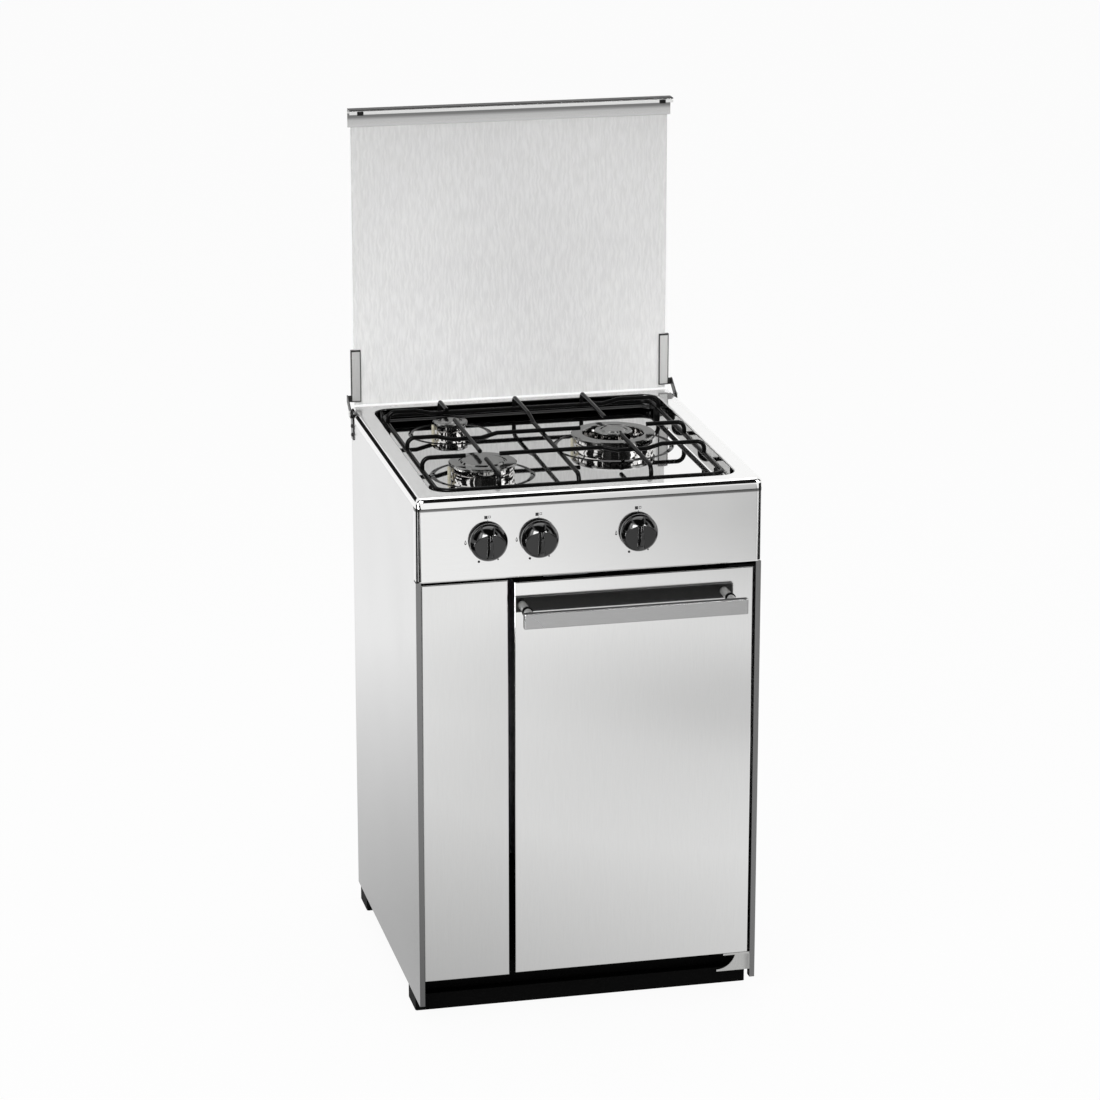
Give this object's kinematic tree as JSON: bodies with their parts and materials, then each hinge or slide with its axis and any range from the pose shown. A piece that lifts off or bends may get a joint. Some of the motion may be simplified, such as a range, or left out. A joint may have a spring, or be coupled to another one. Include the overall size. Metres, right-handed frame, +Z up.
{
  "type": "gas stove",
  "caption": "Free-standing gas stove with a lift-up lid, a wire pan support over round burners, push-and-turn knobs and a side-hung door to a bottle compartment.",
  "frame": {"origin": "centre of the bounding box at floor level, under the foot bars", "axes": "+X to the right seen from the front, +Y to the back, +Z up"},
  "size_m": [0.5102, 0.565, 1.242],
  "materials": {
    "front_steel": "fine vertical brushing",
    "side_steel": "smooth silver-grey paint",
    "hob_steel": "polished",
    "lid_steel": "fine linen grain",
    "inner_steel": "plain galvanised sheet",
    "bright_steel": "polished",
    "handle_steel": "brushed along its length",
    "black_enamel": "semi-gloss vitreous enamel",
    "cap_steel": "satin",
    "ceramic": "glazed ceramic",
    "burner_alloy": "die-cast",
    "brass": "turned",
    "pipe_metal": "drawn tube",
    "spindle_steel": "turned",
    "knob_black": "gloss",
    "black_plastic": "satin",
    "black_rubber": "matte"
  },
  "bodies": {
    "cabinet": {"left_side_panel": "side_steel", "right_side_panel": "side_steel", "back_panel": "inner_steel", "base_pan": "black_enamel", "front_foot": "black_plastic", "rear_foot": "black_plastic", "left_front_panel": "front_steel", "tap_shelf": "black_enamel", "control_panel": "front_steel", "hob_top": "hob_steel", "pan_support": "black_enamel", "support_feet": "black_rubber", "aux_burner_cup": "burner_alloy", "aux_burner_crown": "burner_alloy", "aux_burner_cap": "cap_steel", "rapid_burner_cup": "burner_alloy", "rapid_burner_crown": "burner_alloy", "rapid_burner_cap": "cap_steel", "wok_burner_cup": "burner_alloy", "wok_outer_crown": "burner_alloy", "wok_outer_cap": "cap_steel", "wok_inner_crown": "burner_alloy", "wok_inner_cap": "cap_steel", "injectors": "brass", "flame_probes": "ceramic", "gas_rail": "pipe_metal", "rapid_tap": "brass", "aux_tap": "brass", "wok_tap": "brass", "rapid_pipe": "pipe_metal", "aux_pipe": "pipe_metal", "wok_pipe": "pipe_metal", "gas_inlet": "brass", "left_hinge_bracket": "bright_steel", "right_hinge_bracket": "bright_steel", "lid_pins": "bright_steel", "door_bottom_bracket": "inner_steel", "door_top_bracket": "black_enamel", "door_catch": "black_plastic"},
    "lid": {"lid_sheet": "lid_steel", "lid_lip": "lid_steel", "lid_bumpers": "black_rubber", "left_lid_clip": "bright_steel", "right_lid_clip": "bright_steel"},
    "door": {"door_skin": "front_steel", "door_liner": "inner_steel", "handle_bar": "handle_steel", "handle_posts": "bright_steel", "door_bushes": "bright_steel", "catch_plate": "inner_steel"},
    "rapid_plug_turning": {"rapid_tap_plug": "brass"},
    "rapid_knob_sliding": {"rapid_spindle": "spindle_steel", "rapid_knob": "knob_black"},
    "aux_plug_turning": {"aux_tap_plug": "brass"},
    "aux_knob_sliding": {"aux_spindle": "spindle_steel", "aux_knob": "knob_black"},
    "wok_plug_turning": {"wok_tap_plug": "brass"},
    "wok_knob_sliding": {"wok_spindle": "spindle_steel", "wok_knob": "knob_black"}
  },
  "joints": [
    {"name": "lid_hinge", "type": "hinge", "parent": "cabinet", "child": "lid", "pos_m": [0, 0.2535, 0.783], "axis": [1, 0, 0], "range_deg": [0, 90]},
    {"name": "door_hinge", "type": "hinge", "parent": "cabinet", "child": "door", "pos_m": [0.23, -0.2305, 0.36], "axis": [0, 0, 1], "range_deg": [0, 100]},
    {"name": "rapid_turn", "type": "hinge", "parent": "cabinet", "child": "rapid_plug_turning", "pos_m": [-0.148, -0.2333, 0.7205], "axis": [0, -1, 0], "range_deg": [0, 210]},
    {"name": "rapid_push", "type": "slide", "parent": "rapid_plug_turning", "child": "rapid_knob_sliding", "axis": [0, 1, 0], "range_m": [0, 0.003], "stiffness_N_per_m": 500, "springref_m": -0.001},
    {"name": "aux_turn", "type": "hinge", "parent": "cabinet", "child": "aux_plug_turning", "pos_m": [-0.075, -0.2333, 0.7205], "axis": [0, -1, 0], "range_deg": [0, 210]},
    {"name": "aux_push", "type": "slide", "parent": "aux_plug_turning", "child": "aux_knob_sliding", "axis": [0, 1, 0], "range_m": [0, 0.003], "stiffness_N_per_m": 500, "springref_m": -0.001},
    {"name": "wok_turn", "type": "hinge", "parent": "cabinet", "child": "wok_plug_turning", "pos_m": [0.068, -0.2333, 0.7205], "axis": [0, -1, 0], "range_deg": [0, 210]},
    {"name": "wok_push", "type": "slide", "parent": "wok_plug_turning", "child": "wok_knob_sliding", "axis": [0, 1, 0], "range_m": [0, 0.003], "stiffness_N_per_m": 500, "springref_m": -0.001}
  ]
}
